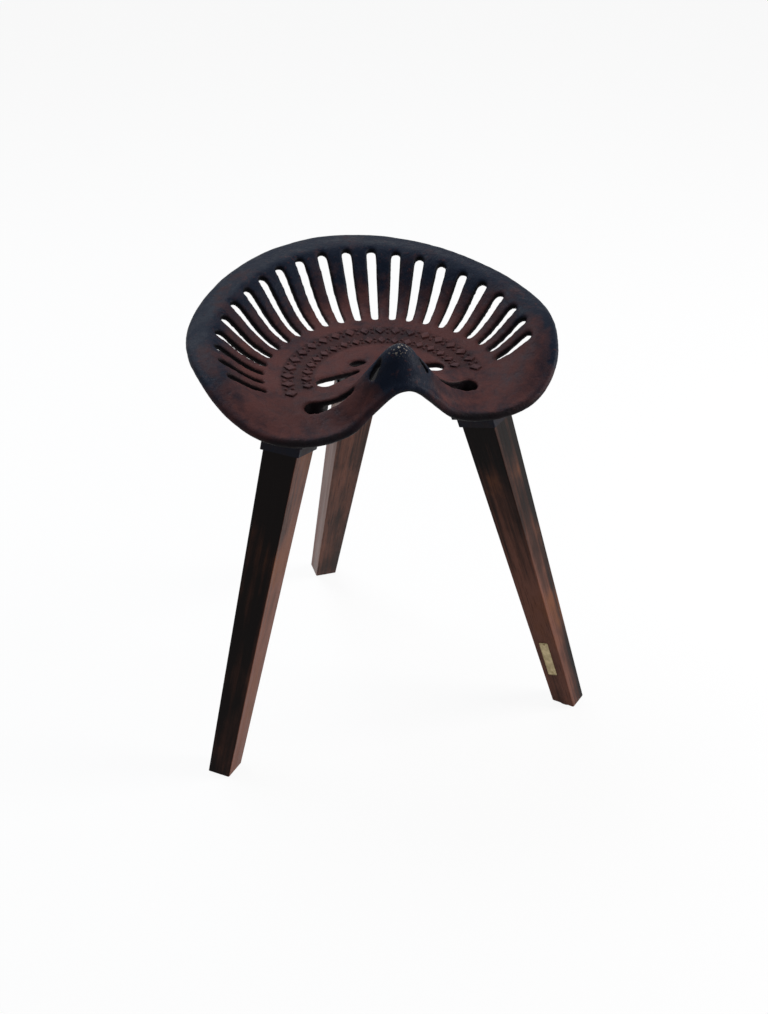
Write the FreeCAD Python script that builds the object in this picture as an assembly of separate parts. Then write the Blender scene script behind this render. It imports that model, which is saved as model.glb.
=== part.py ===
"""Tractor seat stool: a pierced cast-iron seat on three splayed, tapered wooden legs."""
import FreeCAD, Part
import math
import os

from FreeCAD import Vector

# Seat casting, heights above the floor
seat_width = 430.0
seat_depth = 341.0
seat_wall = 9.5
seat_wall_ease_width = 30.0
pan_height = 460.5
pan_back_tilt = 0.06
pan_dish = 3.0
pan_dish_share = 0.474
pan_dish_limit = 1.3
back_lip_height = 529.0
lobe_lip_height = 441.5
lobe_sag = 14.5
lobe_start = 93.0
lobe_sag_from_front = 26.0
lobe_sag_power = 1.2
wall_climb_power = 1.6
lip_bead_radius = 6.0
lip_bead_rise = 0.6
lip_roll_drop = 1.0
lip_roll_limit = 1.4
lip_roll_width_side = 15.0
lip_roll_width_back = 30.0

# Pommel at the middle of the front edge
pommel_height = 86.0
pommel_setback = 29.0
pommel_back_length = 34.0
pommel_front_length = 32.4
pommel_front_spread = 38.0
pommel_spread_growth = 0.38

# Radial slots round the back of the pan
slot_count = 22
slot_pitch_angle = 8.45
slot_inner_radius = 135.0
slot_inner_width = 8.5
slot_outer_width = 11.8
slot_rim_margin_side = 25.5
slot_rim_margin_back = 35.5
slot_rim_margin_power = 3

# Openings beside the pommel, as distances from the middle and from the front edge
lobe_slot_outer = (100.5, 56.0)
lobe_slot_inner = (46.5, 42.0)
lobe_slot_outer_width = 18.0
lobe_slot_inner_width = 5.0
pan_slot_outer = (75.0, 95.5)
pan_slot_inner = (20.0, 115.0)
pan_slot_outer_width = 18.0
pan_slot_inner_width = 4.0
short_slot_outer = (27.4, 130.0)
short_slot_inner = (6.0, 133.8)
short_slot_outer_width = 11.0
short_slot_inner_width = 4.0
flank_hole_outer = (33.5, 26.5)
flank_hole_inner = (20.0, 32.5)
flank_hole_width = 8.0
slot_cut_overhang = 60.0

# Legs: plan places of the axis at the floor, and how far it has moved at leg_gauge_height
leg_foot_width = 28.5
leg_gauge_width = 43.8
leg_gauge_height = 421.0
front_foot_half_spread = 224.8
front_top_half_spread = 113.3
front_foot_from_front = 12.0
front_top_from_front = 68.0
rear_foot_from_front = 385.0
rear_top_from_front = 188.5
front_leg_turn = 41.65
leg_edge_round = 1.5

# Shoes under the seat
pad_height = 440.0
pad_overhang = 2.0
pad_edge_round = 5.0
shoe_plate_thickness = 5.0
shoe_body_wall = 4.2
shoe_shoulder_wall = 6.4
shoe_shoulder_height = 5.0
shoe_skirt_wall = 2.6
shoe_skirt_height = 12.0
shoe_bottom_height = 402.0
shoe_fit_clearance = 0.15
shoe_edge_round = 2.0

# Fasteners
bolt_spacing = 24.0
bolt_diameter = 8.0
bolt_head_flats = 13.0
bolt_head_height = 5.3
bolt_length = 16.0
bolt_hole_clearance = 0.3
boss_hole_clearance = 0.1
boss_hole_end_gap = 1.0
washer_diameter = 15.0
washer_thickness = 1.6
leg_end_clearance = 0.5
screw_diameter = 4.5
screw_length = 28.0
screw_head_diameter = 9.0
screw_head_height = 3.0
screw_clearance = 0.1
screw_end_clearances = 5
screw_head_round = 1.8
screw_above_shoe_bottom = 6.0

# Glides under the feet
glide_diameter = 24.0
glide_thickness = 3.0
glide_nail_diameter = 2.5
glide_nail_length = 18.0
glide_nail_head_diameter = 5.0
glide_nail_head_height = 1.2
glide_nail_recess_depth = 1.6
glide_nail_clearance = 0.1

# Small plate near the foot of the front right leg
plate_width = 12.0
plate_height = 51.0
plate_thickness = 0.8
plate_from_foot = 47.5
plate_corner_radius = 1.0
pin_diameter = 1.6
pin_head_diameter = 2.6
pin_head_height = 0.6
pin_length = 8.0
pin_edge_distance = 3.2
pin_clearance = 0.1
plate_off_centre = -1.5

# Shape of the lip seen from above: azimuth from the back, share of the back reach,
# and share of the height between the lobes and the back
lip_stations = [
    (0.0, 1.000, 1.000),
    (16.0, 0.980, 0.977),
    (32.0, 0.940, 0.920),
    (48.0, 0.912, 0.816),
    (64.0, 0.888, 0.713),
    (81.0, 0.847, 0.638),
    (90.0, 0.819, 0.552),
    (99.0, 0.785, 0.397),
    (108.0, 0.735, 0.213),
    (117.0, 0.657, 0.063),
    (126.0, 0.547, 0.000),
    (134.5, 0.444, -0.005),
    (148.0, 0.353, -0.005),
    (163.5, 0.325, -0.005),
    (180.0, 0.321, -0.005),
]
station_width_share = 0.8393
station_depth_share = 1.321
grid_step = 12.0
grid_overhang = 14.0
slope_probe = 0.5
slab_depth = 130.0
lip_curve_points = 48


# Plan distances that follow from the lip shares
half_width = seat_width / 2 - lip_bead_radius
reach_x = half_width / station_width_share
reach_y = (seat_depth - 2 * lip_bead_radius) / station_depth_share
hub_y = lip_bead_radius + (station_depth_share - 1) * reach_y


def station_value(azimuth, column):
    """Smooth value between the lip stations, the same on the left and on the right."""
    azimuth = abs(azimuth)
    rows = [(-lip_stations[1][0],) + lip_stations[1][1:]]
    rows += lip_stations
    rows.append((360.0 - lip_stations[-2][0],) + lip_stations[-2][1:])
    i = 1
    while i < len(rows) - 3 and azimuth > rows[i + 1][0]:
        i += 1
    a0, a1, a2, a3 = [rows[i + k][0] for k in (-1, 0, 1, 2)]
    v0, v1, v2, v3 = [rows[i + k][column] for k in (-1, 0, 1, 2)]
    span = a2 - a1
    slope_start = (v2 - v0) / (a2 - a0) * span
    slope_end = (v3 - v1) / (a3 - a1) * span
    t = (azimuth - a1) / span
    return (
        (2 * t**3 - 3 * t**2 + 1) * v1
        + (t**3 - 2 * t**2 + t) * slope_start
        + (-2 * t**3 + 3 * t**2) * v2
        + (t**3 - t**2) * slope_end
    )


def pommel_rise(x, y):
    """Height of the pommel above the lobes at a plan point."""
    length = pommel_back_length if y > pommel_setback else pommel_front_length
    rise = pommel_height * math.exp(-(((y - pommel_setback) / length) ** 2))
    spread = pommel_front_spread + pommel_spread_growth * max(y - lip_bead_radius, 0.0)
    return rise * math.exp(-((x / spread) ** 2))


def hub_polar(x, y):
    """Azimuth about the hub, share of the reach, length of a whole share, and the lip's share."""
    share_x = x / reach_x
    share_y = (y - hub_y) / reach_y
    azimuth = math.degrees(math.atan2(share_x, share_y))
    share = math.hypot(share_x, share_y)
    scale = math.hypot(x, y - hub_y) / share if share > 0 else reach_x
    return azimuth, share, scale, station_value(azimuth, 1)


def seat_height(x, y):
    """Height of the seat's upper surface at a plan point."""
    azimuth, share, scale, edge_share = hub_polar(x, y)
    lip = lobe_lip_height + (back_lip_height - lobe_lip_height) * station_value(azimuth, 2)
    dish = min(share / pan_dish_share, pan_dish_limit)
    pan = pan_height + pan_back_tilt * max(y - hub_y, 0.0) + pan_dish * dish**2
    if y < lobe_start:
        pan -= lobe_sag * ((lobe_start - y) / (lobe_start - lobe_sag_from_front)) ** lobe_sag_power
    facing_back = max(math.cos(math.radians(azimuth)), 0.0) ** 2
    roll_width = lip_roll_width_side + (lip_roll_width_back - lip_roll_width_side) * facing_back
    wall_start = edge_share / 2
    wall_end = edge_share - roll_width / scale
    climb = min(max((share - wall_start) / (wall_end - wall_start), 0.0), 1.0)
    blend = math.sin(math.pi / 2 * climb**wall_climb_power) ** 2
    roll_top = lip + lip_bead_radius - lip_bead_rise + lip_roll_drop
    height = pan * (1 - blend) + roll_top * blend
    over = (share - wall_end) * scale / roll_width
    if over > 0:
        height -= lip_roll_drop * min(over, lip_roll_limit) ** 2
    return height + pommel_rise(x, y)


def upright_wall(x, y):
    """Upright thickness of the casting: the wall square to a slope, and plain at the lip."""
    azimuth, share, scale, edge_share = hub_polar(x, y)
    inside = min(max((edge_share - share) * scale / seat_wall_ease_width, 0.0), 1.0)
    ease = inside**2 * (3 - 2 * inside)
    slope_x = (seat_height(x + slope_probe, y) - seat_height(x - slope_probe, y)) / (2 * slope_probe)
    slope_y = (seat_height(x, y + slope_probe) - seat_height(x, y - slope_probe)) / (2 * slope_probe)
    steepness = math.sqrt(1 + slope_x**2 + slope_y**2)
    return seat_wall * (1 + (steepness - 1) * ease)


def seat_face(under):
    """Smooth upper face of the casting, or its under face."""
    columns = 2 * math.ceil((seat_width / 2 + grid_overhang) / grid_step)
    rows = math.ceil((seat_depth + 2 * grid_overhang) / grid_step)
    step_x = (seat_width + 2 * grid_overhang) / columns
    step_y = (seat_depth + 2 * grid_overhang) / rows
    points = []
    for i in range(columns + 1):
        x = -seat_width / 2 - grid_overhang + i * step_x
        line = []
        for j in range(rows + 1):
            y = -grid_overhang + j * step_y
            drop = upright_wall(x, y) if under else 0.0
            line.append(Vector(x, y, seat_height(x, y) - drop))
        points.append(line)
    surface = Part.BSplineSurface()
    surface.interpolate(points)
    return surface.toShape()


def lip_point(azimuth):
    """Middle of the lip bead at an azimuth from the back."""
    share = station_value(azimuth if azimuth <= 180 else 360 - azimuth, 1)
    x = share * reach_x * math.sin(math.radians(azimuth))
    y = hub_y + share * reach_y * math.cos(math.radians(azimuth))
    return Vector(x, y, seat_height(x, y) - lip_bead_radius + lip_bead_rise)


def lip_outline(height):
    """Face inside the middle line of the lip bead, laid flat at a height."""
    points = [lip_point(k * 360.0 / lip_curve_points) for k in range(lip_curve_points)]
    curve = Part.BSplineCurve()
    curve.interpolate([Vector(p.x, p.y, height) for p in points], PeriodicFlag=True)
    return Part.Face(Part.Wire([curve.toShape()]))


def lip_bead():
    """Round bead along the whole lip."""
    points = [lip_point(k * 360.0 / lip_curve_points) for k in range(lip_curve_points)]
    rings = []
    for i, point in enumerate(points):
        along = (points[(i + 1) % lip_curve_points] - points[i - 1]).normalize()
        rings.append(Part.Wire([Part.Circle(point, along, lip_bead_radius).toShape()]))
    return Part.makeLoft(rings, True, False, True)


def tapered_slot(outer, inner, outer_width, inner_width, low, high):
    """Upright cutter with round ends, wider at its outer end."""
    direction = Vector(inner[0] - outer[0], inner[1] - outer[1], 0)
    length = direction.Length
    direction.normalize()
    side = Vector(-direction.y, direction.x, 0)
    r1 = outer_width / 2
    r2 = inner_width / 2
    start = Vector(outer[0], outer[1], low) + direction * r1
    end = Vector(inner[0], inner[1], low) - direction * r2
    lean = math.asin((r1 - r2) / (length - r1 - r2))
    touch = direction * math.sin(lean) + side * math.cos(lean)
    other = direction * math.sin(lean) - side * math.cos(lean)
    p1, p2 = start + touch * r1, end + touch * r2
    p3, p4 = end + other * r2, start + other * r1
    wire = Part.Wire([
        Part.LineSegment(p1, p2).toShape(),
        Part.Arc(p2, end + direction * r2, p3).toShape(),
        Part.LineSegment(p3, p4).toShape(),
        Part.Arc(p4, start - direction * r1, p1).toShape(),
    ])
    return Part.Face(wire).extrude(Vector(0, 0, high - low))


def slot_cutters():
    """The radial slots and the openings beside the pommel."""
    low = pad_height - slot_cut_overhang
    high = back_lip_height + slot_cut_overhang
    cutters = []
    for k in range(slot_count):
        azimuth = slot_pitch_angle * (k - (slot_count - 1) / 2)
        facing_back = max(math.cos(math.radians(azimuth)), 0.0) ** slot_rim_margin_power
        margin = slot_rim_margin_side + (slot_rim_margin_back - slot_rim_margin_side) * facing_back
        edge = lip_point(azimuth % 360)
        outer_radius = math.hypot(edge.x, edge.y - hub_y) - margin
        sine, cosine = math.sin(math.radians(azimuth)), math.cos(math.radians(azimuth))
        outer = (outer_radius * sine, hub_y + outer_radius * cosine)
        inner = (slot_inner_radius * sine, hub_y + slot_inner_radius * cosine)
        cutters.append(tapered_slot(outer, inner, slot_outer_width, slot_inner_width, low, high))
    for side in (-1, 1):
        for outer, inner, wide, narrow in (
            (lobe_slot_outer, lobe_slot_inner, lobe_slot_outer_width, lobe_slot_inner_width),
            (pan_slot_outer, pan_slot_inner, pan_slot_outer_width, pan_slot_inner_width),
            (short_slot_outer, short_slot_inner, short_slot_outer_width, short_slot_inner_width),
            (flank_hole_outer, flank_hole_inner, flank_hole_width, flank_hole_width),
        ):
            a, b = (side * outer[0], outer[1]), (side * inner[0], inner[1])
            cutters.append(tapered_slot(a, b, wide, narrow, low, high))
    return cutters


class LegFrame:
    """Axis and face directions of one leg, and tapered square solids along it."""

    def __init__(self, name, side):
        if side == 0:
            self.foot = Vector(0, rear_foot_from_front, glide_thickness)
            gauge = Vector(0, rear_top_from_front, leg_gauge_height)
            turn = math.pi
        else:
            self.foot = Vector(side * front_foot_half_spread, front_foot_from_front, glide_thickness)
            gauge = Vector(side * front_top_half_spread, front_top_from_front, leg_gauge_height)
            turn = side * math.radians(front_leg_turn)
        self.name = name
        self.axis = gauge - self.foot
        self.growth = (leg_gauge_width - leg_foot_width) / self.axis.Length
        self.axis.normalize()
        outward = Vector(math.sin(turn), -math.cos(turn), 0)
        self.side = Vector(0, 0, 1).cross(outward).normalize()
        self.out = self.side.cross(self.axis).normalize()
        if self.out.dot(outward) < 0:
            self.out = -self.out

    def at(self, along, out=0.0, side=0.0):
        return self.foot + self.axis * along + self.out * out + self.side * side

    def along_at_height(self, height):
        return (height - self.foot.z) / self.axis.z

    def width(self, along):
        return leg_foot_width + self.growth * along

    def taper(self, start, end, extra, edge_round):
        """Square solid round the leg, its faces the given distance outside the leg's faces."""
        rings = []
        for along in (start, end):
            half = self.width(along) / 2 + extra
            signs = ((1, 1), (1, -1), (-1, -1), (-1, 1))
            corners = [self.at(along, u * half, v * half) for u, v in signs]
            rings.append(Part.makePolygon(corners + corners[:1]))
        solid = Part.makeLoft(rings, True, True)
        if edge_round > 0:
            length = end - start
            edges = [e for e in solid.Edges if abs(e.Length - length) < length * 0.05]
            edges = [e for e in edges if abs(e.tangentAt(e.FirstParameter).dot(self.axis)) > 0.9]
            solid = solid.makeFillet(edge_round, edges)
        return solid


def slab_between(low, high):
    """Wide flat block between two heights, for level cuts."""
    size = 4 * seat_width
    return Part.makeBox(size, size, high - low, Vector(-size / 2, -size / 2, low))


def hexagon_head(centre, flats, height):
    """Upright hexagonal prism that starts at centre."""
    radius = flats / math.sqrt(3)
    turns = [math.radians(60 * k) for k in range(7)]
    corners = [centre + Vector(radius * math.cos(t), radius * math.sin(t), 0) for t in turns]
    return Part.Face(Part.makePolygon(corners)).extrude(Vector(0, 0, height))


def bolt_places(frame):
    """Plan places of the two bolts of a shoe, at the under face of its plate."""
    plate_under = pad_height - shoe_plate_thickness
    middle = frame.at(frame.along_at_height(plate_under - bolt_head_height / 2))
    out = Vector(frame.out.x, frame.out.y, 0).normalize()
    return [Vector(middle.x, middle.y, plate_under) + out * (k * bolt_spacing / 2) for k in (-1, 1)]


def shoe(frame):
    """Cast shoe: level plate, tapered square socket, shoulder, thin skirt."""
    bottom = frame.along_at_height(shoe_bottom_height)
    skirt_top = bottom + shoe_skirt_height
    shoulder_top = skirt_top + shoe_shoulder_height
    top = frame.along_at_height(pad_height) + leg_gauge_width
    fit = shoe_fit_clearance
    solid = frame.taper(bottom, skirt_top, fit + shoe_skirt_wall, shoe_edge_round)
    solid = solid.fuse([
        frame.taper(skirt_top, shoulder_top, fit + shoe_shoulder_wall, shoe_edge_round),
        frame.taper(shoulder_top, top, fit + shoe_body_wall, shoe_edge_round),
    ]).removeSplitter()
    solid = solid.cut(slab_between(pad_height, pad_height + slab_depth))
    socket = frame.taper(bottom - leg_foot_width, top, fit, 0)
    plate_under = pad_height - shoe_plate_thickness
    solid = solid.cut(socket.cut(slab_between(plate_under, pad_height + slab_depth)))
    holes = [
        Part.makeCylinder(bolt_diameter / 2 + bolt_hole_clearance, 3 * shoe_plate_thickness,
                          place - Vector(0, 0, shoe_plate_thickness))
        for place in bolt_places(frame)
    ]
    return solid.cut(holes + [screw_shank(frame, screw_clearance)])


def pad_prism(frame):
    """Upright prism whose foot is the level pad that a shoe bolts to."""
    middle = frame.along_at_height(pad_height)
    extra = shoe_fit_clearance + shoe_body_wall + pad_overhang
    solid = frame.taper(middle - leg_gauge_width, middle + leg_gauge_width, extra, pad_edge_round)
    level = solid.slice(Vector(0, 0, 1), pad_height)
    return Part.Face(Part.Wire(level[0].Edges)).extrude(Vector(0, 0, slab_depth))


def screw_place(frame):
    """Point on the inner face of a shoe's skirt, and the direction out of that face."""
    along = frame.along_at_height(shoe_bottom_height) + screw_above_shoe_bottom
    half = frame.width(along) / 2 + shoe_fit_clearance + shoe_skirt_wall
    outward = frame.side.cross(frame.axis - frame.out * (frame.growth / 2)).normalize()
    if outward.dot(frame.out) > 0:
        outward = -outward
    return frame.at(along, -half), outward


def screw_shank(frame, clearance):
    """Shank of the side screw, from its head's seat into the leg."""
    seat_point, outward = screw_place(frame)
    length = screw_length + clearance * screw_end_clearances
    return Part.makeCylinder(screw_diameter / 2 + clearance, length, seat_point, -outward)


def side_screw(frame):
    """Round-headed screw through the shoe's skirt into the leg."""
    seat_point, outward = screw_place(frame)
    head = Part.makeCylinder(screw_head_diameter / 2, screw_head_height, seat_point, outward)
    rim = [e for e in head.Edges if rim_of(e, seat_point, outward)]
    head = head.makeFillet(screw_head_round, rim)
    return head.fuse(screw_shank(frame, 0.0)).removeSplitter()


def rim_of(edge, base, outward):
    """True for the round edge at the outer end of a head."""
    if not isinstance(edge.Curve, Part.Circle):
        return False
    return (edge.Curve.Center - base).dot(outward) > screw_head_height / 2


def leg(frame):
    """Tapered wooden leg, cut level at the foot and below the bolt heads."""
    head_under = pad_height - shoe_plate_thickness - washer_thickness - bolt_head_height
    leg_top = head_under - leg_end_clearance
    far = frame.along_at_height(pad_height + leg_gauge_width)
    solid = frame.taper(-leg_gauge_width, far, 0, leg_edge_round)
    solid = solid.common(slab_between(glide_thickness, leg_top))
    nail_reach = glide_nail_recess_depth + glide_nail_length
    nail_radius = glide_nail_diameter / 2 + glide_nail_clearance
    nail_hole = Part.makeCylinder(nail_radius, nail_reach, foot_point(frame))
    return solid.cut([screw_shank(frame, screw_clearance), nail_hole])


def foot_point(frame):
    """Middle of the underside of a foot glide."""
    return Vector(frame.foot.x, frame.foot.y, 0)


def glide(frame):
    """Round glide with a recess for its nail."""
    point = foot_point(frame)
    disc = Part.makeCylinder(glide_diameter / 2, glide_thickness, point)
    hole = Part.makeCylinder(glide_nail_diameter / 2 + glide_nail_clearance, glide_thickness, point)
    recess_radius = glide_nail_head_diameter / 2 + glide_nail_clearance
    return disc.cut([hole, Part.makeCylinder(recess_radius, glide_nail_recess_depth, point)])


def glide_nail(frame):
    """Flat-headed nail up through the glide into the leg."""
    under_head = foot_point(frame) + Vector(0, 0, glide_nail_recess_depth)
    down = Vector(0, 0, -1)
    head = Part.makeCylinder(glide_nail_head_diameter / 2, glide_nail_head_height, under_head, down)
    shank = Part.makeCylinder(glide_nail_diameter / 2, glide_nail_length, under_head)
    return head.fuse(shank).removeSplitter()


def shoe_bolts(frame):
    """The two hexagon-head bolts of one shoe."""
    bolts = []
    for place in bolt_places(frame):
        under = place - Vector(0, 0, washer_thickness)
        head = hexagon_head(under - Vector(0, 0, bolt_head_height), bolt_head_flats, bolt_head_height)
        shank = Part.makeCylinder(bolt_diameter / 2, bolt_length, under)
        bolts.append(head.fuse(shank).removeSplitter())
    return Part.makeCompound(bolts)


def shoe_washers(frame):
    """The two washers of one shoe."""
    washers = []
    for place in bolt_places(frame):
        base = place - Vector(0, 0, washer_thickness)
        disc = Part.makeCylinder(washer_diameter / 2, washer_thickness, base)
        hole = Part.makeCylinder(bolt_diameter / 2 + bolt_hole_clearance, washer_thickness, base)
        washers.append(disc.cut(hole))
    return Part.makeCompound(washers)


def plate_frame(frame):
    """Lower middle of the plate on the leg's face, then across, up and outward directions."""
    up = (frame.axis - frame.side * (frame.growth / 2)).normalize()
    outward = frame.out.cross(up).normalize()
    if outward.dot(frame.side) > 0:
        outward = -outward
    across = up.cross(outward).normalize()
    base = frame.at(plate_from_foot, plate_off_centre, -frame.width(plate_from_foot) / 2)
    return base, across, up, outward


def pin_places(frame):
    """Where the two pins cross the leg's face."""
    base, across, up, outward = plate_frame(frame)
    return [base + up * distance for distance in (pin_edge_distance, plate_height - pin_edge_distance)]


def brass_plate(frame):
    """Narrow upright plate with rounded corners and two pin holes."""
    base, across, up, outward = plate_frame(frame)
    corners = [
        base - across * (plate_width / 2),
        base + across * (plate_width / 2),
        base + across * (plate_width / 2) + up * plate_height,
        base - across * (plate_width / 2) + up * plate_height,
    ]
    solid = Part.Face(Part.makePolygon(corners + corners[:1])).extrude(outward * plate_thickness)
    edges = [e for e in solid.Edges if abs(e.tangentAt(e.FirstParameter).dot(outward)) > 0.9]
    solid = solid.makeFillet(plate_corner_radius, edges)
    radius = pin_diameter / 2 + pin_clearance
    return solid.cut([Part.makeCylinder(radius, plate_thickness, p, outward) for p in pin_places(frame)])


def plate_pins(frame):
    """The two pins of the plate."""
    outward = plate_frame(frame)[3]
    pins = []
    for place in pin_places(frame):
        seat_point = place + outward * plate_thickness
        head = Part.makeCylinder(pin_head_diameter / 2, pin_head_height, seat_point, outward)
        shank = Part.makeCylinder(pin_diameter / 2, pin_length, seat_point, -outward)
        pins.append(head.fuse(shank).removeSplitter())
    return Part.makeCompound(pins)


def pin_holes(frame):
    """Holes for the pins in the leg."""
    outward = plate_frame(frame)[3]
    radius = pin_diameter / 2 + pin_clearance
    return [Part.makeCylinder(radius, pin_length, place, -outward) for place in pin_places(frame)]


def seat_casting(frames):
    """Pierced casting: dished slab with pads, openings and the lip bead."""
    above = seat_face(under=False).extrude(Vector(0, 0, -slab_depth))
    below = seat_face(under=True).extrude(Vector(0, 0, -2 * slab_depth))
    below = below.cut([pad_prism(frame) for frame in frames])
    outline = lip_outline(lobe_lip_height - slab_depth / 2).extrude(Vector(0, 0, 2 * slab_depth))
    slab = above.common(outline).cut(below)
    boss_hole_depth = bolt_length - washer_thickness - shoe_plate_thickness + boss_hole_end_gap
    holes = [
        Part.makeCylinder(bolt_diameter / 2 + boss_hole_clearance, boss_hole_depth,
                          Vector(place.x, place.y, pad_height))
        for frame in frames
        for place in bolt_places(frame)
    ]
    slab = slab.cut(slot_cutters() + holes)
    return slab.fuse(lip_bead())


frames = [LegFrame("front_left", -1), LegFrame("front_right", 1), LegFrame("rear", 0)]
nodes = {"seat_casting": seat_casting(frames)}
for frame in frames:
    nodes["leg_shoe_" + frame.name] = shoe(frame)
    nodes["leg_" + frame.name] = leg(frame)
    nodes["shoe_bolts_" + frame.name] = shoe_bolts(frame)
    nodes["shoe_washers_" + frame.name] = shoe_washers(frame)
    nodes["leg_screw_" + frame.name] = side_screw(frame)
    nodes["foot_glide_" + frame.name] = glide(frame)
    nodes["glide_nail_" + frame.name] = glide_nail(frame)
plated = frames[1]
nodes["leg_" + plated.name] = nodes["leg_" + plated.name].cut(pin_holes(plated))
nodes["brass_plate"] = brass_plate(plated)
nodes["plate_pins"] = plate_pins(plated)

# The rest face's middle is the origin
legs = Part.makeCompound([nodes["leg_" + frame.name] for frame in frames])
shift = Vector(0, -legs.optimalBoundingBox(False, False).Center.y, 0)
os.makedirs("parts", exist_ok=True)
for name, shape in nodes.items():
    shape.translate(shift)
    shape.exportStep("parts/" + name + ".step")
    box = shape.optimalBoundingBox(False, False)
    print(name, len(shape.Solids), shape.isValid(), round(shape.Volume), [round(v, 1) for v in (
        box.XMin, box.XMax, box.YMin, box.YMax, box.ZMin, box.ZMax)])
print("shift", round(shift.y, 3))
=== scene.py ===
import math
import bmesh
import bpy
import numpy as np
from mathutils import Matrix, Vector, noise
from mathutils.bvhtree import BVHTree


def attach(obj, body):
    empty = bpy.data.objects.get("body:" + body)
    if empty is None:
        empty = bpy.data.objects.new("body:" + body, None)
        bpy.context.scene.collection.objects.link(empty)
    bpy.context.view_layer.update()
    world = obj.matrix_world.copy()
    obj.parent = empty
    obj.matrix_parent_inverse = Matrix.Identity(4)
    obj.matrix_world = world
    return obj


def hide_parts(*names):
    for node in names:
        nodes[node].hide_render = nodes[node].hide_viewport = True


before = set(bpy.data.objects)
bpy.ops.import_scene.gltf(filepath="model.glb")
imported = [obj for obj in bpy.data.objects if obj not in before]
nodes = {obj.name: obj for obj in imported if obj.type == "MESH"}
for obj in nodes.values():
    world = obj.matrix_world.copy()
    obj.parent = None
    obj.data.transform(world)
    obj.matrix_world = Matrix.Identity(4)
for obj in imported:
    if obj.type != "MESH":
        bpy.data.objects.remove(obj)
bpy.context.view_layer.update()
scene = bpy.context.scene
print("frame loaded:", len(nodes), "nodes")


# Helpers for shader nodes

noiseMiddle = 0.5


def startMaterial(name):
    mat = bpy.data.materials.new(name)
    mat.use_nodes = True
    tree = mat.node_tree
    coords = tree.nodes.new("ShaderNodeTexCoord")
    return mat, tree, tree.nodes["Principled BSDF"], coords.outputs["Object"]


def addNode(tree, kind, inputs, **settings):
    # an output given as an input is linked, anything else is set
    node = tree.nodes.new(kind)
    for name, value in settings.items():
        setattr(node, name, value)
    for key, value in inputs.items():
        if isinstance(value, bpy.types.NodeSocket):
            tree.links.new(value, node.inputs[key])
        else:
            node.inputs[key].default_value = value
    return node


def mapped(tree, source, scale=(1, 1, 1), rotation=(0, 0, 0), location=(0, 0, 0)):
    inputs = {"Vector": source, "Scale": scale, "Rotation": rotation, "Location": location}
    return addNode(tree, "ShaderNodeMapping", inputs).outputs["Vector"]


def noiseOf(tree, source, scale, detail, roughness, distortion=0.0):
    inputs = {
        "Vector": source, "Scale": scale, "Detail": detail, "Roughness": roughness, "Distortion": distortion,
    }
    return addNode(tree, "ShaderNodeTexNoise", inputs).outputs["Fac"]


def spread(tree, source, low, high, toLow=0.0, toHigh=1.0):
    inputs = {"Value": source, "From Min": low, "From Max": high, "To Min": toLow, "To Max": toHigh}
    return addNode(tree, "ShaderNodeMapRange", inputs, interpolation_type="SMOOTHSTEP").outputs["Result"]


def sums(tree, operation, a, b, clamp=False):
    node = addNode(tree, "ShaderNodeMath", {0: a, 1: b}, operation=operation, use_clamp=clamp)
    return node.outputs["Value"]


def weighed(tree, parts):
    # sum of (source, weight) pairs
    total = 0.0
    for source, weight in parts:
        total = sums(tree, "ADD", sums(tree, "MULTIPLY", source, weight), total)
    return total


def blended(tree, factor, first, second):
    inputs = {"Factor": factor}
    for key, value in (("A", first), ("B", second)):
        inputs[key] = (*value, 1.0) if isinstance(value, tuple) else value
    return addNode(tree, "ShaderNodeMix", inputs, data_type="RGBA").outputs["Result"]


def bumped(tree, shader, layers):
    # layers: (height, (strength, distance)) from the finest to the broadest
    previous = None
    for height, (strength, distance) in layers:
        inputs = {"Height": height, "Strength": strength, "Distance": distance}
        if previous is not None:
            inputs["Normal"] = previous
        previous = addNode(tree, "ShaderNodeBump", inputs).outputs["Normal"]
    tree.links.new(previous, shader.inputs["Normal"])


def attributeOf(tree, name):
    return addNode(tree, "ShaderNodeAttribute", {}, attribute_name=name).outputs["Fac"]


def axisOf(tree, source, axis):
    return addNode(tree, "ShaderNodeSeparateXYZ", {"Vector": source}).outputs[axis]


def finishShader(tree, shader, colour, roughness, look):
    tree.links.new(colour, shader.inputs["Base Color"])
    tree.links.new(roughness, shader.inputs["Roughness"])
    shader.inputs["Metallic"].default_value = look["metallic"]
    shader.inputs["Specular IOR Level"].default_value = look["specular"]


# In each look below a noise is (scale, detail, roughness, distortion), a bump is (strength, distance),
# and a range is (from, to, value at from, value at to), where the values may be left out for 0 and 1

# Old cast iron of the seat, with a painted sheen and painted shade

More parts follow.
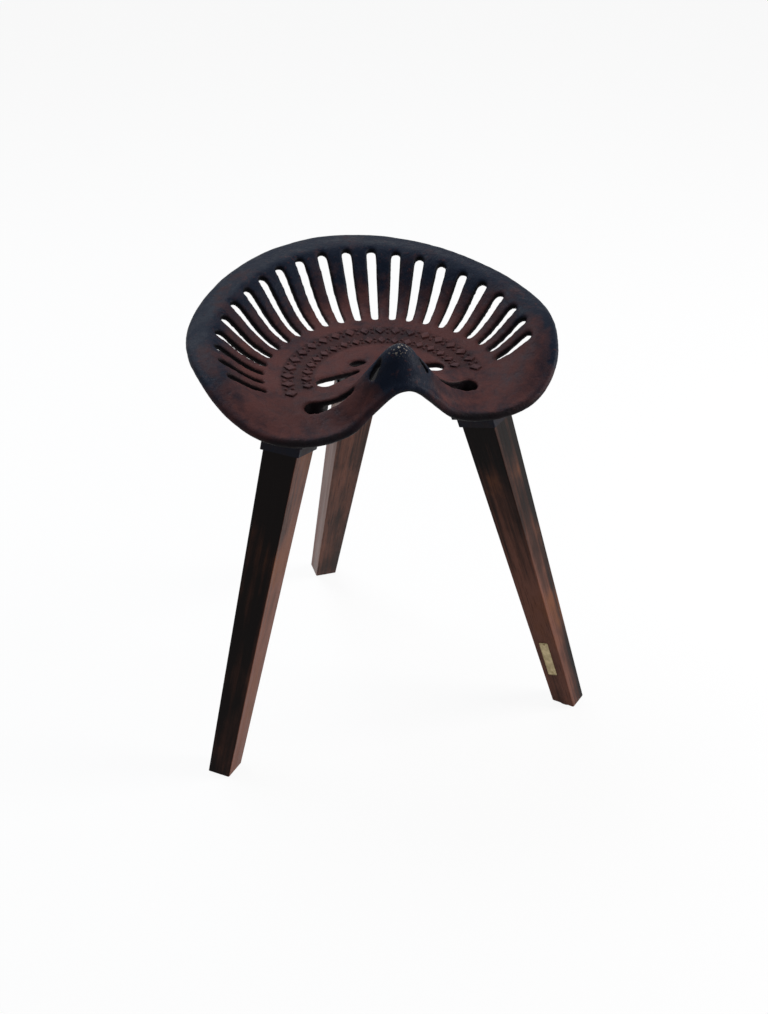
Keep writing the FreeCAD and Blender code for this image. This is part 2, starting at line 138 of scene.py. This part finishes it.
ironLook = {
    "rust": (0.064, 0.0240, 0.0225),
    "umber": (0.0215, 0.0112, 0.0145),
    "blueBlackWithSheen": (0.0030, 0.0058, 0.0135),
    "shadeAndGrimeDark": (0.0010, 0.0009, 0.0018),
    "paintedSheen": (0.0140, 0.0200, 0.0330),
    "worn": (0.36, 0.31, 0.26),
    "rubbed": (0.062, 0.045, 0.052),
    "patches": (12.0, 5, 0.6, 0.4),
    "mottle": (62.0, 6, 0.65, 0.3),
    "lumps": (170.0, 4, 0.6),
    "chips": (430.0, 3, 0.6),
    "grain": (520.0, 3, 0.6),
    "lowDownRange": (0.520, 0.468),
    "patchWeight": 1.05,
    "lowDownWeight": 0.36,
    "mottleWeight": 0.8,
    "pommelWeight": -0.42,
    "rimWeight": -0.16,
    "umberRange": (0.50, 0.74),
    "rustRange": (0.68, 1.05),
    "speckleRange": (0.58, 0.72, 0.0, 0.40),
    "sheenMottleRange": (0.50, 0.70),
    "sheenRustRange": (0.85, 0.55, 0.0, 0.40),
    "rubbedEdgeRange": (0.25, 0.9),
    "rubbedMottleRange": (0.42, 0.62),
    "rubbedShare": 0.42,
    "hollowRange": (0.10, 0.75, 0.0, 0.80),
    "shadeAndGrimeRange": (0.0, 1.0, 0.0, 0.96),
    "chipRange": (0.56, 0.62),
    "roughnessRange": (0.3, 0.7, 0.38, 0.58),
    "grainRoughness": 0.10,
    "metallic": 0.10,
    "specular": 0.06,
    "grainBump": (0.50, 0.0006),
    "lumpBump": (0.60, 0.0012),
    "mottleBump": (0.45, 0.0022),
}


def ironMaterial(look):
    mat, tree, shader, where = startMaterial("old_cast_iron")
    patches = noiseOf(tree, where, *look["patches"])
    mottle = noiseOf(tree, where, *look["mottle"])
    lumps = noiseOf(tree, where, *look["lumps"])
    chips = noiseOf(tree, where, *look["chips"])
    grain = noiseOf(tree, where, *look["grain"])
    # rust lies in the pan and at the foot of the ribs; the lip and the pommel are blue-black, the iron's own
    # near black with a painted bluish sheen
    rusty = weighed(tree, [
        (patches, look["patchWeight"]),
        (spread(tree, axisOf(tree, where, "Z"), *look["lowDownRange"]), look["lowDownWeight"]),
        (sums(tree, "SUBTRACT", mottle, noiseMiddle), look["mottleWeight"]),
        (attributeOf(tree, "pommel"), look["pommelWeight"]),
        (attributeOf(tree, "rim"), look["rimWeight"]),
    ])
    colour = blended(tree, spread(tree, rusty, *look["umberRange"]), look["blueBlackWithSheen"], look["umber"])
    colour = blended(tree, spread(tree, rusty, *look["rustRange"]), colour, look["rust"])
    colour = blended(tree, spread(tree, lumps, *look["speckleRange"]), colour, look["rust"])
    # painted sheen: a bluish grey mottled over the iron where there is little rust
    sheenMottle = spread(tree, mottle, *look["sheenMottleRange"])
    sheenShare = sums(tree, "MULTIPLY", sheenMottle, spread(tree, rusty, *look["sheenRustRange"]))
    colour = blended(tree, sheenShare, colour, look["paintedSheen"])
    rubbedEdge = spread(tree, attributeOf(tree, "edge"), *look["rubbedEdgeRange"])
    rubbed = sums(tree, "MULTIPLY", rubbedEdge, spread(tree, mottle, *look["rubbedMottleRange"]))
    colour = blended(tree, sums(tree, "MULTIPLY", rubbed, look["rubbedShare"]), colour, look["rubbed"])
    # painted shade: hollows, the slots' walls, the underside and the lip's lower edge darken towards near
    # black, and round the cast band grime does
    for name in ("hollow", "shadeAndGrime"):
        dark = spread(tree, attributeOf(tree, name), *look[name + "Range"])
        colour = blended(tree, dark, colour, look["shadeAndGrimeDark"])
    # bright specks where the pommel's top is worn
    bare = sums(tree, "MULTIPLY", attributeOf(tree, "polish"), spread(tree, chips, *look["chipRange"]))
    colour = blended(tree, bare, colour, look["worn"])
    roughGrain = sums(tree, "MULTIPLY", grain, look["grainRoughness"])
    roughness = sums(tree, "ADD", spread(tree, mottle, *look["roughnessRange"]), roughGrain)
    finishShader(tree, shader, colour, roughness, look)
    bumped(tree, shader, [
        (grain, look["grainBump"]),
        (lumps, look["lumpBump"]),
        (mottle, look["mottleBump"]),
    ])
    return mat


# Dark stained wood, with its grain along each leg; its noises start with their stretch in X, Y and Z

woodLook = {
    "deep": (0.0030, 0.0012, 0.0010),
    "stain": (0.036, 0.0140, 0.0095),
    "warm": (0.140, 0.056, 0.038),
    "amber": (0.125, 0.043, 0.014),
    "pore": (0.003, 0.0015, 0.0015),
    "figure": ((34, 34, 1.7), 5, 0.6, 0.9),
    "streaks": ((160, 160, 4.5), 5, 0.62, 0.3),
    "pores": ((900, 900, 26), 3, 0.6),
    "cloud": ((16, 16, 9), 4, 0.55),
    "seedStretch": 1.7,
    "cornerStreaks": 0.12,
    "cornerRange": (0.88, 1.04, 0.0, 0.13),
    "highUpRange": (0.20, 0.42),
    "onFaceRange": (0.45, 0.80),
    "figureWeight": 0.6,
    "streakWeight": 0.4,
    "cloudWeight": 0.60,
    "stainRange": (0.24, 0.42),
    "warmRange": (0.36, 0.60),
    "amberCloudRange": (0.52, 0.70),
    "amberToneRange": (0.30, 0.50, 0.0, 0.7),
    "poreRange": (0.55, 0.68, 0.0, 0.60),
    "roughnessRange": (0.3, 0.7, 0.30, 0.46),
    "metallic": 0.0,
    "specular": 0.07,
    "poreBump": (0.25, 0.0004),
    "streakBump": (0.25, 0.0007),
}

# where each leg stands, how its faces are turned, and the painted shade on its faces, which is painted light
# where below 0:
# (direction of the face, painted shade all over, more painted shade towards the seat)
legSettings = {
    "front_left": {
        "foot": (-0.2248, -0.18455), "top": (-0.1133, -0.12855), "turn": -41.65, "seed": 0.13,
        "paintedFaceShade": [((-0.66, -0.75, 0.0), 0.20, 0.06), ((0.75, -0.66, 0.0), -0.06, 0.10)],
    },
    "front_right": {
        "foot": (0.2248, -0.18455), "top": (0.1133, -0.12855), "turn": 41.65, "seed": 0.44,
        "paintedFaceShade": [((-0.75, -0.66, 0.0), -0.04, 0.36), ((0.66, -0.75, 0.0), 0.02, 0.10)],
    },
    "rear": {
        "foot": (0.0, 0.18845), "top": (0.0, -0.00805), "turn": 180.0, "seed": 0.75,
        "paintedFaceShade": [((0.0, -1.0, 0.0), 0.03, 0.05), ((-1.0, 0.0, 0.0), -0.16, 0.0)],
    },
}
footHeight = 0.003
topHeight = 0.421


def legTurn(leg):
    # rotation that stands the leg upright with its faces square to X and Y
    foot = Vector((*leg["foot"], footHeight))
    axis = (Vector((*leg["top"], topHeight)) - foot).normalized()
    turn = math.radians(leg["turn"])
    side = Vector((0, 0, 1)).cross(Vector((math.sin(turn), -math.cos(turn), 0))).normalized()
    return Matrix((side, side.cross(axis), axis)), foot


def stretchedNoise(tree, source, stretch, *shape):
    return noiseOf(tree, mapped(tree, source, scale=stretch), 1.0, *shape)


def cornerDarkening(tree, upright, streaks, look):
    # darker along the corners
    across = sums(tree, "ABSOLUTE", axisOf(tree, upright, "X"), 0.0)
    through = sums(tree, "ABSOLUTE", axisOf(tree, upright, "Y"), 0.0)
    nearer, farther = (sums(tree, kind, across, through) for kind in ("MINIMUM", "MAXIMUM"))
    corner = sums(tree, "DIVIDE", nearer, farther)
    streaky = sums(tree, "MULTIPLY", streaks, look["cornerStreaks"])
    return spread(tree, sums(tree, "ADD", corner, streaky), *look["cornerRange"])


def woodMaterial(name, leg, look):
    mat, tree, shader, where = startMaterial(name)
    turned, foot = legTurn(leg)
    upright = mapped(tree, where, rotation=tuple(turned.to_euler()), location=tuple(-(turned @ foot)))
    along = mapped(tree, upright, location=(leg["seed"], leg["seed"] * look["seedStretch"], 0.0))
    figure, streaks, pores, cloud = (
        stretchedNoise(tree, along, *look[kind]) for kind in ("figure", "streaks", "pores", "cloud")
    )
    # stained holds the darkening along the corners, and the painted shade of whole faces is added to it
    # below
    stained = cornerDarkening(tree, upright, streaks, look)
    normal = tree.nodes.new("ShaderNodeNewGeometry").outputs["Normal"]
    highUp = spread(tree, axisOf(tree, where, "Z"), *look["highUpRange"])
    # painted shade on whole faces: those turned from the lamps are darkened, more up under the seat, and a
    # negative amount paints light
    for direction, shadeAllOver, shadeTowardsSeat in leg["paintedFaceShade"]:
        facing = addNode(tree, "ShaderNodeVectorMath", {0: normal, 1: direction}, operation="DOT_PRODUCT")
        onFace = spread(tree, facing.outputs["Value"], *look["onFaceRange"])
        faceShade = sums(tree, "ADD", sums(tree, "MULTIPLY", highUp, shadeTowardsSeat), shadeAllOver)
        stained = sums(tree, "ADD", stained, sums(tree, "MULTIPLY", onFace, faceShade))
    tone = weighed(tree, [
        (figure, look["figureWeight"]),
        (streaks, look["streakWeight"]),
        (sums(tree, "SUBTRACT", cloud, noiseMiddle), look["cloudWeight"]),
    ])
    tone = sums(tree, "SUBTRACT", tone, stained)
    colour = blended(tree, spread(tree, tone, *look["stainRange"]), look["deep"], look["stain"])
    colour = blended(tree, spread(tree, tone, *look["warmRange"]), colour, look["warm"])
    amberCloud = spread(tree, cloud, *look["amberCloudRange"])
    glow = sums(tree, "MULTIPLY", amberCloud, spread(tree, tone, *look["amberToneRange"]))
    colour = blended(tree, glow, colour, look["amber"])
    colour = blended(tree, spread(tree, pores, *look["poreRange"]), colour, look["pore"])
    finishShader(tree, shader, colour, spread(tree, streaks, *look["roughnessRange"]), look)
    bumped(tree, shader, [(pores, look["poreBump"]), (streaks, look["streakBump"])])
    return mat


# Simple materials: a stain between two colours, and its bump over a finer one where there is one

shoeLook = {
    "clean": (0.0035, 0.0042, 0.0095), "stained": (0.015, 0.010, 0.012),
    "stain": (70.0, 5, 0.6, 0.2), "stainRange": (0.40, 0.68), "roughnessRange": (0.3, 0.7, 0.42, 0.60),
    "metallic": 0.10, "specular": 0.10,
    "fine": (600.0, 3, 0.6), "fineBump": (0.3, 0.0005), "stainBump": (0.3, 0.0015),
}
brassLook = {
    "clean": (0.46, 0.37, 0.21), "stained": (0.30, 0.235, 0.125),
    "stain": (150.0, 3, 0.5), "stainRange": (0.3, 0.7), "roughnessRange": (0.3, 0.7, 0.40, 0.52),
    "metallic": 0.65, "specular": 0.5,
    "fine": (2200.0, 2, 0.5), "fineBump": (0.12, 0.0001),
}
steelLook = {
    "clean": (0.40, 0.40, 0.41), "stained": (0.22, 0.19, 0.16),
    "stain": (180.0, 4, 0.6), "stainRange": (0.4, 0.7), "roughnessRange": (0.3, 0.7, 0.30, 0.5),
    "metallic": 0.9, "specular": 0.5,
    "fine": (1500.0, 2, 0.5), "fineBump": (0.2, 0.0003),
}
glideLook = {
    "clean": (0.012, 0.010, 0.010), "stained": (0.045, 0.036, 0.032),
    "stain": (300.0, 4, 0.6), "stainRange": (0.45, 0.7), "roughnessRange": (0.3, 0.7, 0.5, 0.7),
    "metallic": 0.0, "specular": 0.5,
    "stainBump": (0.3, 0.0004),
}


def simpleMaterial(name, look):
    mat, tree, shader, where = startMaterial(name)
    stain = noiseOf(tree, where, *look["stain"])
    colour = blended(tree, spread(tree, stain, *look["stainRange"]), look["clean"], look["stained"])
    finishShader(tree, shader, colour, spread(tree, stain, *look["roughnessRange"]), look)
    layers = []
    if "fineBump" in look:
        layers.append((noiseOf(tree, where, *look["fine"]), look["fineBump"]))
    if "stainBump" in look:
        layers.append((stain, look["stainBump"]))
    bumped(tree, shader, layers)
    return mat


# Helpers for meshes

def dress(obj, mat):
    obj.data.materials.clear()
    obj.data.materials.append(mat)


def objectFrom(shape, name):
    mesh = bpy.data.meshes.new(name)
    shape.to_mesh(mesh)
    shape.free()
    obj = bpy.data.objects.new(name, mesh)
    scene.collection.objects.link(obj)
    return obj


def rounded(shape, edges, offset, segments):
    bmesh.ops.bevel(
        shape, geom=edges, offset=offset, segments=segments, profile=0.5, affect="EDGES", material=-1,
    )


def framed(across, away, up, origin):
    # stands X, Y and Z along three directions at a place
    return Matrix.Translation(origin) @ Matrix((across, away, up)).transposed().to_4x4()


def giveAttribute(mesh, name, values):
    layer = mesh.attributes.new(name, "FLOAT", "POINT")
    layer.data.foreach_set("value", values.astype(np.float32))


def meshArrays(mesh):
    points = np.zeros(len(mesh.vertices) * 3)
    mesh.vertices.foreach_get("co", points)
    normals = np.zeros(len(mesh.vertices) * 3)
    mesh.vertices.foreach_get("normal", normals)
    pairs = np.zeros(len(mesh.edges) * 2, int)
    mesh.edges.foreach_get("vertices", pairs)
    return points.reshape(-1, 3), normals.reshape(-1, 3), pairs.reshape(-1, 2)


def neighbourMean(values, pairs, steps):
    count = np.maximum(np.bincount(pairs.ravel(), minlength=len(values)), 1)
    if values.ndim > 1:
        count = count[:, None]
    for step in range(steps):
        total = np.zeros_like(values)
        np.add.at(total, pairs[:, 0], values[pairs[:, 1]])
        np.add.at(total, pairs[:, 1], values[pairs[:, 0]])
        values = total / count
    return values


def eased(values, low, high):
    share = np.clip((values - low) / (high - low), 0, 1)
    return share * share * (3 - 2 * share)


# Seat: the casting with soft, slightly uneven edges, and attributes for its wear and for painted shade

hubPlace = (0.0, -0.1106)

seatSettings = {
    "mergeDistance": 1e-6,
    "voxel": 0.0020,
    "softening": 8,
    "softenFactor": 0.5,
    # waves of the skin
    "unevenness": 0.00035,
    "broadWaves": 34.0,
    "fineWaves": 90.0,
    "fineWaveShare": 0.5,
    "waveMiddle": 0.6,
    # ribs and slots' walls, which get back what the softening takes
    "fullness": 0.0008,
    "ribsFrom": 0.085,
    "ribsBehind": -0.02,
    "steepNormal": 0.8,
    "lipReach": 0.2490,
    "lipShrink": 0.19,
    "lipShrinkLimit": 1.3,
    "lipFade": 0.07,
    # edges and hollows
    "flatSteps": 4,
    "wearSteps": 2,
    "bendHeight": 0.0011,
    # worn pommel top, and the pommel and lip blue-black with a painted bluish sheen
    "pommelTop": (0.0, -0.167, 0.533),
    "polishReach": 0.017,
    "polishPower": 0.7,
    "pommelRange": (0.062, 0.0341),
    "sectors": 360,
    "rimRange": (0.014, 0.0056),
    # painted shade on the slots' walls, the underside and the lip's lower edge, and grime round the cast
    # band
    "slotNormalRange": (0.62, 0.28),
    "slotInsideRange": (0.013, 0.018),
    "underNormalRange": (0.0, -0.5),
    "underShare": 0.75,
    "lowLipInsideRange": (0.010, 0.004),
    "lowLipHeightRange": (0.462, 0.444),
    "lowLipShare": 0.8,
    "bandRadii": (0.076, 0.120),
    "bandFade": 0.004,
    "bandNormal": 0.3,
    "bandBehindRange": (-0.12, 0.05),
    "leastRadius": 1e-6,
    "bandShare": 0.45,
}


def lipShare(out, settings):
    # 1 over the slots, 0 on the lip
    reach = math.hypot(out.x, out.y) / settings["lipReach"]
    quarterTurns = abs(math.atan2(out.x, out.y)) / (math.pi / 2)
    lip = 1.0 - settings["lipShrink"] * min(quarterTurns, settings["lipShrinkLimit"])
    return min(max((lip - reach) / settings["lipFade"], 0.0), 1.0)


def evenSkin(settings):
    merged = bmesh.new()
    merged.from_mesh(nodes["seat_casting"].data)
    bmesh.ops.remove_doubles(merged, verts=merged.verts, dist=settings["mergeDistance"])
    seat = objectFrom(merged, "seat_body")
    remesh = seat.modifiers.new("even_skin", "REMESH")
    remesh.mode = "VOXEL"
    remesh.voxel_size = settings["voxel"]
    depsgraph = bpy.context.evaluated_depsgraph_get()
    skin = bpy.data.meshes.new_from_object(seat.evaluated_get(depsgraph))
    seat.modifiers.clear()
    seat.data = skin
    return seat


def softenSkin(skin, settings):
    shape = bmesh.new()
    shape.from_mesh(skin)
    for step in range(settings["softening"]):
        bmesh.ops.smooth_vert(
            shape, verts=shape.verts, factor=settings["softenFactor"],
            use_axis_x=True, use_axis_y=True, use_axis_z=True,
        )
    shape.normal_update()
    hub = Vector((*hubPlace, 0))
    for vert in shape.verts:
        wave = noise.noise(vert.co * settings["broadWaves"])
        wave += settings["fineWaveShare"] * noise.noise(vert.co * settings["fineWaves"])
        push = (wave - settings["waveMiddle"]) * settings["unevenness"]
        out = vert.co - hub
        steep = settings["steepNormal"] - abs(vert.normal.z)
        onRibs = math.hypot(out.x, out.y) > settings["ribsFrom"] and out.y > settings["ribsBehind"]
        if onRibs and steep > 0:
            push += settings["fullness"] * steep / settings["steepNormal"] * lipShare(out, settings)
        vert.co += vert.normal * push
    shape.to_mesh(skin)
    shape.free()
    skin.shade_smooth()


def markWearAndShade(skin, settings):
    points, normals, pairs = meshArrays(skin)
    flat = neighbourMean(points, pairs, settings["flatSteps"])
    bend = ((points - flat) * normals).sum(axis=1) / settings["bendHeight"]
    bend = neighbourMean(bend, pairs, settings["wearSteps"])
    giveAttribute(skin, "edge", np.clip(bend, 0, 1))
    giveAttribute(skin, "hollow", np.clip(-bend, 0, 1))
    away = np.linalg.norm(points - np.array(settings["pommelTop"]), axis=1)
    polish = np.clip(1.0 - away / settings["polishReach"], 0, 1) ** settings["polishPower"]
    giveAttribute(skin, "polish", polish)
    giveAttribute(skin, "pommel", eased(away, *settings["pommelRange"]))
    # distance in from the lip, read off the widest vertices all round
    outward = points[:, :2] - np.array(hubPlace)
    radius = np.linalg.norm(outward, axis=1)
    sectors = settings["sectors"]
    halfTurns = np.arctan2(outward[:, 0], outward[:, 1]) / math.pi + 1
    sector = (halfTurns * sectors / 2).astype(int) % sectors
    widest = np.zeros(sectors)
    np.maximum.at(widest, sector, radius)
    inside = widest[sector] - radius
    giveAttribute(skin, "rim", eased(inside, *settings["rimRange"]))
    # painted shade on the walls of the slots, the underside and the lip's lower edge, and grime round the
    # cast band
    upright = neighbourMean(np.abs(normals[:, 2]), pairs, settings["wearSteps"])
    slotWall = eased(upright, *settings["slotNormalRange"]) * eased(inside, *settings["slotInsideRange"])
    under = eased(normals[:, 2], *settings["underNormalRange"])
    lowLip = eased(inside, *settings["lowLipInsideRange"])
    lowLip *= eased(points[:, 2], *settings["lowLipHeightRange"])
    near, far = settings["bandRadii"]
    band = eased(radius, near, near + settings["bandFade"]) * eased(radius, far, far - settings["bandFade"])
    band *= normals[:, 2] > settings["bandNormal"]
    behind = outward[:, 1] / np.maximum(radius, settings["leastRadius"])
    band *= eased(behind, *settings["bandBehindRange"])
    shadeAndGrime = np.maximum.reduce([
        slotWall,
        under * settings["underShare"],
        lowLip * settings["lowLipShare"],
        band * settings["bandShare"],
    ])
    giveAttribute(skin, "shadeAndGrime", shadeAndGrime)


def buildSeat(settings):
    seat = evenSkin(settings)
    seat.data.name = "seat_body"
    softenSkin(seat.data, settings)
    markWearAndShade(seat.data, settings)
    print("seat skin:", len(seat.data.polygons), "faces")
    return seat


# Band of raised ornament cast round the middle of the pan: lozenges and pairs of pellets

bandSettings = {
    "height": 0.0020,
    "sunk": 0.0012,
    "round": 0.0006,
    "roundSegments": 2,
    "lozengeSide": 0.64,
    "lozengeStretch": (0.80, 1.08),
    "pelletRadius": 0.17,
    "pelletOffset": 0.26,
    "rayHeight": 0.60,
    "flattestNormal": 0.5,
    "edgeWear": 0.75,
    "rows": [
        {"radius": 0.1090, "halfTurn": 92.0, "count": 39, "size": 0.0156},
        {"radius": 0.0875, "halfTurn": 86.0, "count": 35, "size": 0.0128},
    ],
}


# each motif is made flat at the origin, X along the band and Y away from the hub

def addLozenge(shape, size, thick, settings):
    side = size * settings["lozengeSide"]
    block = bmesh.ops.create_cube(shape, size=1.0)["verts"]
    bmesh.ops.scale(shape, vec=(side, side, thick), verts=block)
    bmesh.ops.translate(shape, vec=(0, 0, thick / 2), verts=block)
    bmesh.ops.rotate(shape, matrix=Matrix.Rotation(math.pi / 4, 3, "Z"), verts=block)
    bmesh.ops.scale(shape, vec=(*settings["lozengeStretch"], 1), verts=block)
    rounded(shape, list(shape.edges), settings["round"], settings["roundSegments"])


def addPellets(shape, size, thick, settings):
    radius = size * settings["pelletRadius"]
    for offset in (-settings["pelletOffset"], settings["pelletOffset"]):
        ball = bmesh.ops.create_icosphere(shape, subdivisions=2, radius=radius)["verts"]
        bmesh.ops.scale(shape, vec=(1, 1, thick / radius), verts=ball)
        bmesh.ops.translate(shape, vec=(0, size * offset, 0), verts=ball)


def buildBand(settings, seat):
    corners = [v.co for v in seat.data.vertices]
    ground = BVHTree.FromPolygons(corners, [p.vertices for p in seat.data.polygons])
    hub = Vector((*hubPlace, 0))
    thick = settings["height"] + settings["sunk"]
    motifs = (addLozenge, addPellets)
    shape = bmesh.new()
    for row in settings["rows"]:
        for k in range(row["count"]):
            turn = math.radians(row["halfTurn"] * (2 * k / (row["count"] - 1) - 1))
            out = Vector((math.sin(turn), math.cos(turn), 0))
            start = hub + out * row["radius"] + Vector((0, 0, settings["rayHeight"]))
            hit, normal = ground.ray_cast(start, Vector((0, 0, -1)))[:2]
            if hit is None or normal.z < settings["flattestNormal"]:
                continue
            motif = bmesh.new()
            motifs[k % len(motifs)](motif, row["size"], thick, settings)
            away = (out - normal * out.dot(normal)).normalized()
            place = framed(away.cross(normal), away, normal, hit - normal * settings["sunk"])
            bmesh.ops.transform(motif, matrix=place, verts=motif.verts)
            part = bpy.data.meshes.new("motif")
            motif.to_mesh(part)
            motif.free()
            shape.from_mesh(part)
            bpy.data.meshes.remove(part)
    bmesh.ops.recalc_face_normals(shape, faces=shape.faces)
    band = objectFrom(shape, "cast_band")
    mesh = band.data
    mesh.shade_smooth()
    giveAttribute(mesh, "edge", np.full(len(mesh.vertices), settings["edgeWear"]))
    print("cast band:", len(mesh.polygons), "faces")
    return band


# Plate near the foot of the front right leg: raised rim and a plain field

plateSettings = {
    "legGrowth": 0.03508,
    "cornerRound": 0.0010,
    "cornerSegments": 4,
    "edgeRound": 0.00012,
    "edgeSegments": 2,
    "rimWidth": 0.0005,
    "rimSlope": 0.0001,
    "fieldDepth": 0.0002,
}


def buildPlate(settings):
    points = np.array([v.co for v in nodes["brass_plate"].data.vertices])
    middle = (points.min(axis=0) + points.max(axis=0)) / 2
    # the plate lies on a side face, which leans by half of the leg's growth in width
    side, out, axis = legTurn(legSettings["front_right"])[0]
    up = (axis - side * settings["legGrowth"] / 2).normalized()
    out = out.cross(up).normalized()
    if out.dot(side) > 0:
        out = -out
    across = up.cross(out).normalized()
    local = (points - middle) @ np.array([across, up, out]).T
    low, high = local.min(axis=0), local.max(axis=0)
    size = high - low
    shape = bmesh.new()
    bmesh.ops.create_cube(shape, size=1.0)
    bmesh.ops.scale(shape, vec=Vector(size), verts=shape.verts)
    upright = [e for e in shape.edges if abs((e.verts[0].co - e.verts[1].co).z) > size[2] / 2]
    rounded(shape, upright, settings["cornerRound"], settings["cornerSegments"])
    front = max(shape.faces, key=lambda f: f.calc_center_median().z)
    rounded(shape, list(front.edges), settings["edgeRound"], settings["edgeSegments"])
    # what the rounding leaves of the same face
    front = max(shape.faces, key=lambda f: (round(f.calc_center_median().z, 6), f.calc_area()))
    for thickness in (settings["rimWidth"], settings["rimSlope"]):
        bmesh.ops.inset_region(shape, faces=[front], thickness=thickness, use_even_offset=True)
    bmesh.ops.translate(shape, verts=front.verts, vec=Vector((0, 0, -settings["fieldDepth"])))
    bmesh.ops.translate(shape, verts=shape.verts, vec=Vector((low + high) / 2))
    bmesh.ops.transform(shape, verts=shape.verts, matrix=framed(across, up, out, Vector(middle)))
    bmesh.ops.recalc_face_normals(shape, faces=shape.faces)
    return objectFrom(shape, "plate_face")


seat = buildSeat(seatSettings)
iron = ironMaterial(ironLook)
dress(seat, iron)
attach(seat, "root")
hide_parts("seat_casting")

band = buildBand(bandSettings, seat)
dress(band, iron)
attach(band, "root")

plate = buildPlate(plateSettings)
brass = simpleMaterial("aged_brass", brassLook)
dress(plate, brass)
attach(plate, "root")
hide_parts("brass_plate")
dress(nodes["plate_pins"], brass)
print("plate done")

shoeIron = simpleMaterial("blackened_iron", shoeLook)
steel = simpleMaterial("dull_steel", steelLook)
glide = simpleMaterial("dark_glide", glideLook)
for side, leg in legSettings.items():
    dress(nodes["leg_" + side], woodMaterial("stained_wood_" + side, leg, woodLook))
    dress(nodes["leg_shoe_" + side], shoeIron)
    dress(nodes["foot_glide_" + side], glide)
    for part in ("shoe_bolts_", "shoe_washers_", "leg_screw_", "glide_nail_"):
        dress(nodes[part + side], steel)
print("legs dressed")


# Stage: pale floor, white surroundings, soft lamps, camera

floorSettings = {
    "halfSide": 9.0,
    "colour": (0.86, 0.86, 0.87, 1),
    "roughness": 0.9,
    "specular": 0.1,
    "whitening": 0.92,
}

worldSettings = {
    "tint": (0.93, 0.96, 1.0, 1),
    "light": 0.16,
    "seenLight": 1.0,
}

lampSettings = {
    "key_right": {
        "place": (2.1, -0.6, 1.2), "target": (0, 0, 0.35), "size": (1.1, 1.3),
        "power": 60.0, "colour": (1.0, 0.96, 0.93),
    },
    "top_back": {
        "place": (-0.4, 1.0, 2.2), "target": (0, 0, 0.45), "size": (1.4, 1.0),
        "power": 36.0, "colour": (0.88, 0.94, 1.0),
    },
    "fill_left": {
        "place": (-2.2, 0.2, 1.0), "target": (0, 0, 0.4), "size": (1.0, 1.4),
        "power": 4.0, "colour": (0.90, 0.94, 1.0),
    },
}

cameraSettings = {
    "place": (-0.46249, -1.62421, 1.30024),
    "azimuth": -16.998,
    "elevation": 32.548,
    "lens": 55.957,
    "sensor": 36.0,
}

white = (1, 1, 1, 1)


def seenRays(tree):
    # 1 for rays of the camera and of glossy surfaces
    rays = tree.nodes.new("ShaderNodeLightPath").outputs
    return sums(tree, "ADD", rays["Is Camera Ray"], rays["Is Glossy Ray"], clamp=True)


def mixSurface(tree, share, first, second, output):
    mix = addNode(tree, "ShaderNodeMixShader", {"Fac": share, 1: first, 2: second})
    tree.links.new(mix.outputs["Shader"], tree.nodes[output].inputs["Surface"])


def buildFloor(settings):
    shape = bmesh.new()
    bmesh.ops.create_grid(shape, x_segments=1, y_segments=1, size=settings["halfSide"])
    floor = objectFrom(shape, "floor")
    mat, tree, shader = startMaterial("pale_floor")[:3]
    shader.inputs["Base Color"].default_value = settings["colour"]
    shader.inputs["Roughness"].default_value = settings["roughness"]
    shader.inputs["Specular IOR Level"].default_value = settings["specular"]
    glow = addNode(tree, "ShaderNodeEmission", {"Color": white})
    share = sums(tree, "MULTIPLY", seenRays(tree), settings["whitening"])
    mixSurface(tree, share, shader.outputs["BSDF"], glow.outputs["Emission"], "Material Output")
    floor.data.materials.append(mat)


def buildWorld(settings):
    world = bpy.data.worlds.new("studio")
    scene.world = world
    world.use_nodes = True
    tree = world.node_tree
    back = tree.nodes["Background"]
    back.inputs["Color"].default_value = settings["tint"]
    back.inputs["Strength"].default_value = settings["light"]
    seen = addNode(tree, "ShaderNodeBackground", {"Color": white, "Strength": settings["seenLight"]})
    mixSurface(tree, seenRays(tree), back.outputs["Background"], seen.outputs["Background"], "World Output")


def addLamp(name, settings):
    lamp = bpy.data.lights.new(name, "AREA")
    lamp.shape = "RECTANGLE"
    lamp.size, lamp.size_y = settings["size"]
    lamp.energy = settings["power"]
    lamp.color = settings["colour"]
    holder = bpy.data.objects.new(name, lamp)
    holder.location = settings["place"]
    back = Vector(settings["place"]) - Vector(settings["target"])
    holder.rotation_euler = back.to_track_quat("Z", "Y").to_euler()
    scene.collection.objects.link(holder)


def addCamera(settings):
    data = bpy.data.cameras.new("photo_view")
    data.sensor_width = settings["sensor"]
    data.lens = settings["lens"]
    camera = bpy.data.objects.new("photo_view", data)
    turn, lift = math.radians(settings["azimuth"]), math.radians(settings["elevation"])
    back = Vector((math.sin(turn) * math.cos(lift), -math.cos(turn) * math.cos(lift), math.sin(lift)))
    camera.location = settings["place"]
    camera.rotation_euler = back.to_track_quat("Z", "Y").to_euler()
    scene.collection.objects.link(camera)
    scene.camera = camera


buildFloor(floorSettings)
buildWorld(worldSettings)
for lampName, lampValues in lampSettings.items():
    addLamp(lampName, lampValues)
addCamera(cameraSettings)
scene.view_settings.view_transform = "Standard"
print("stage done")
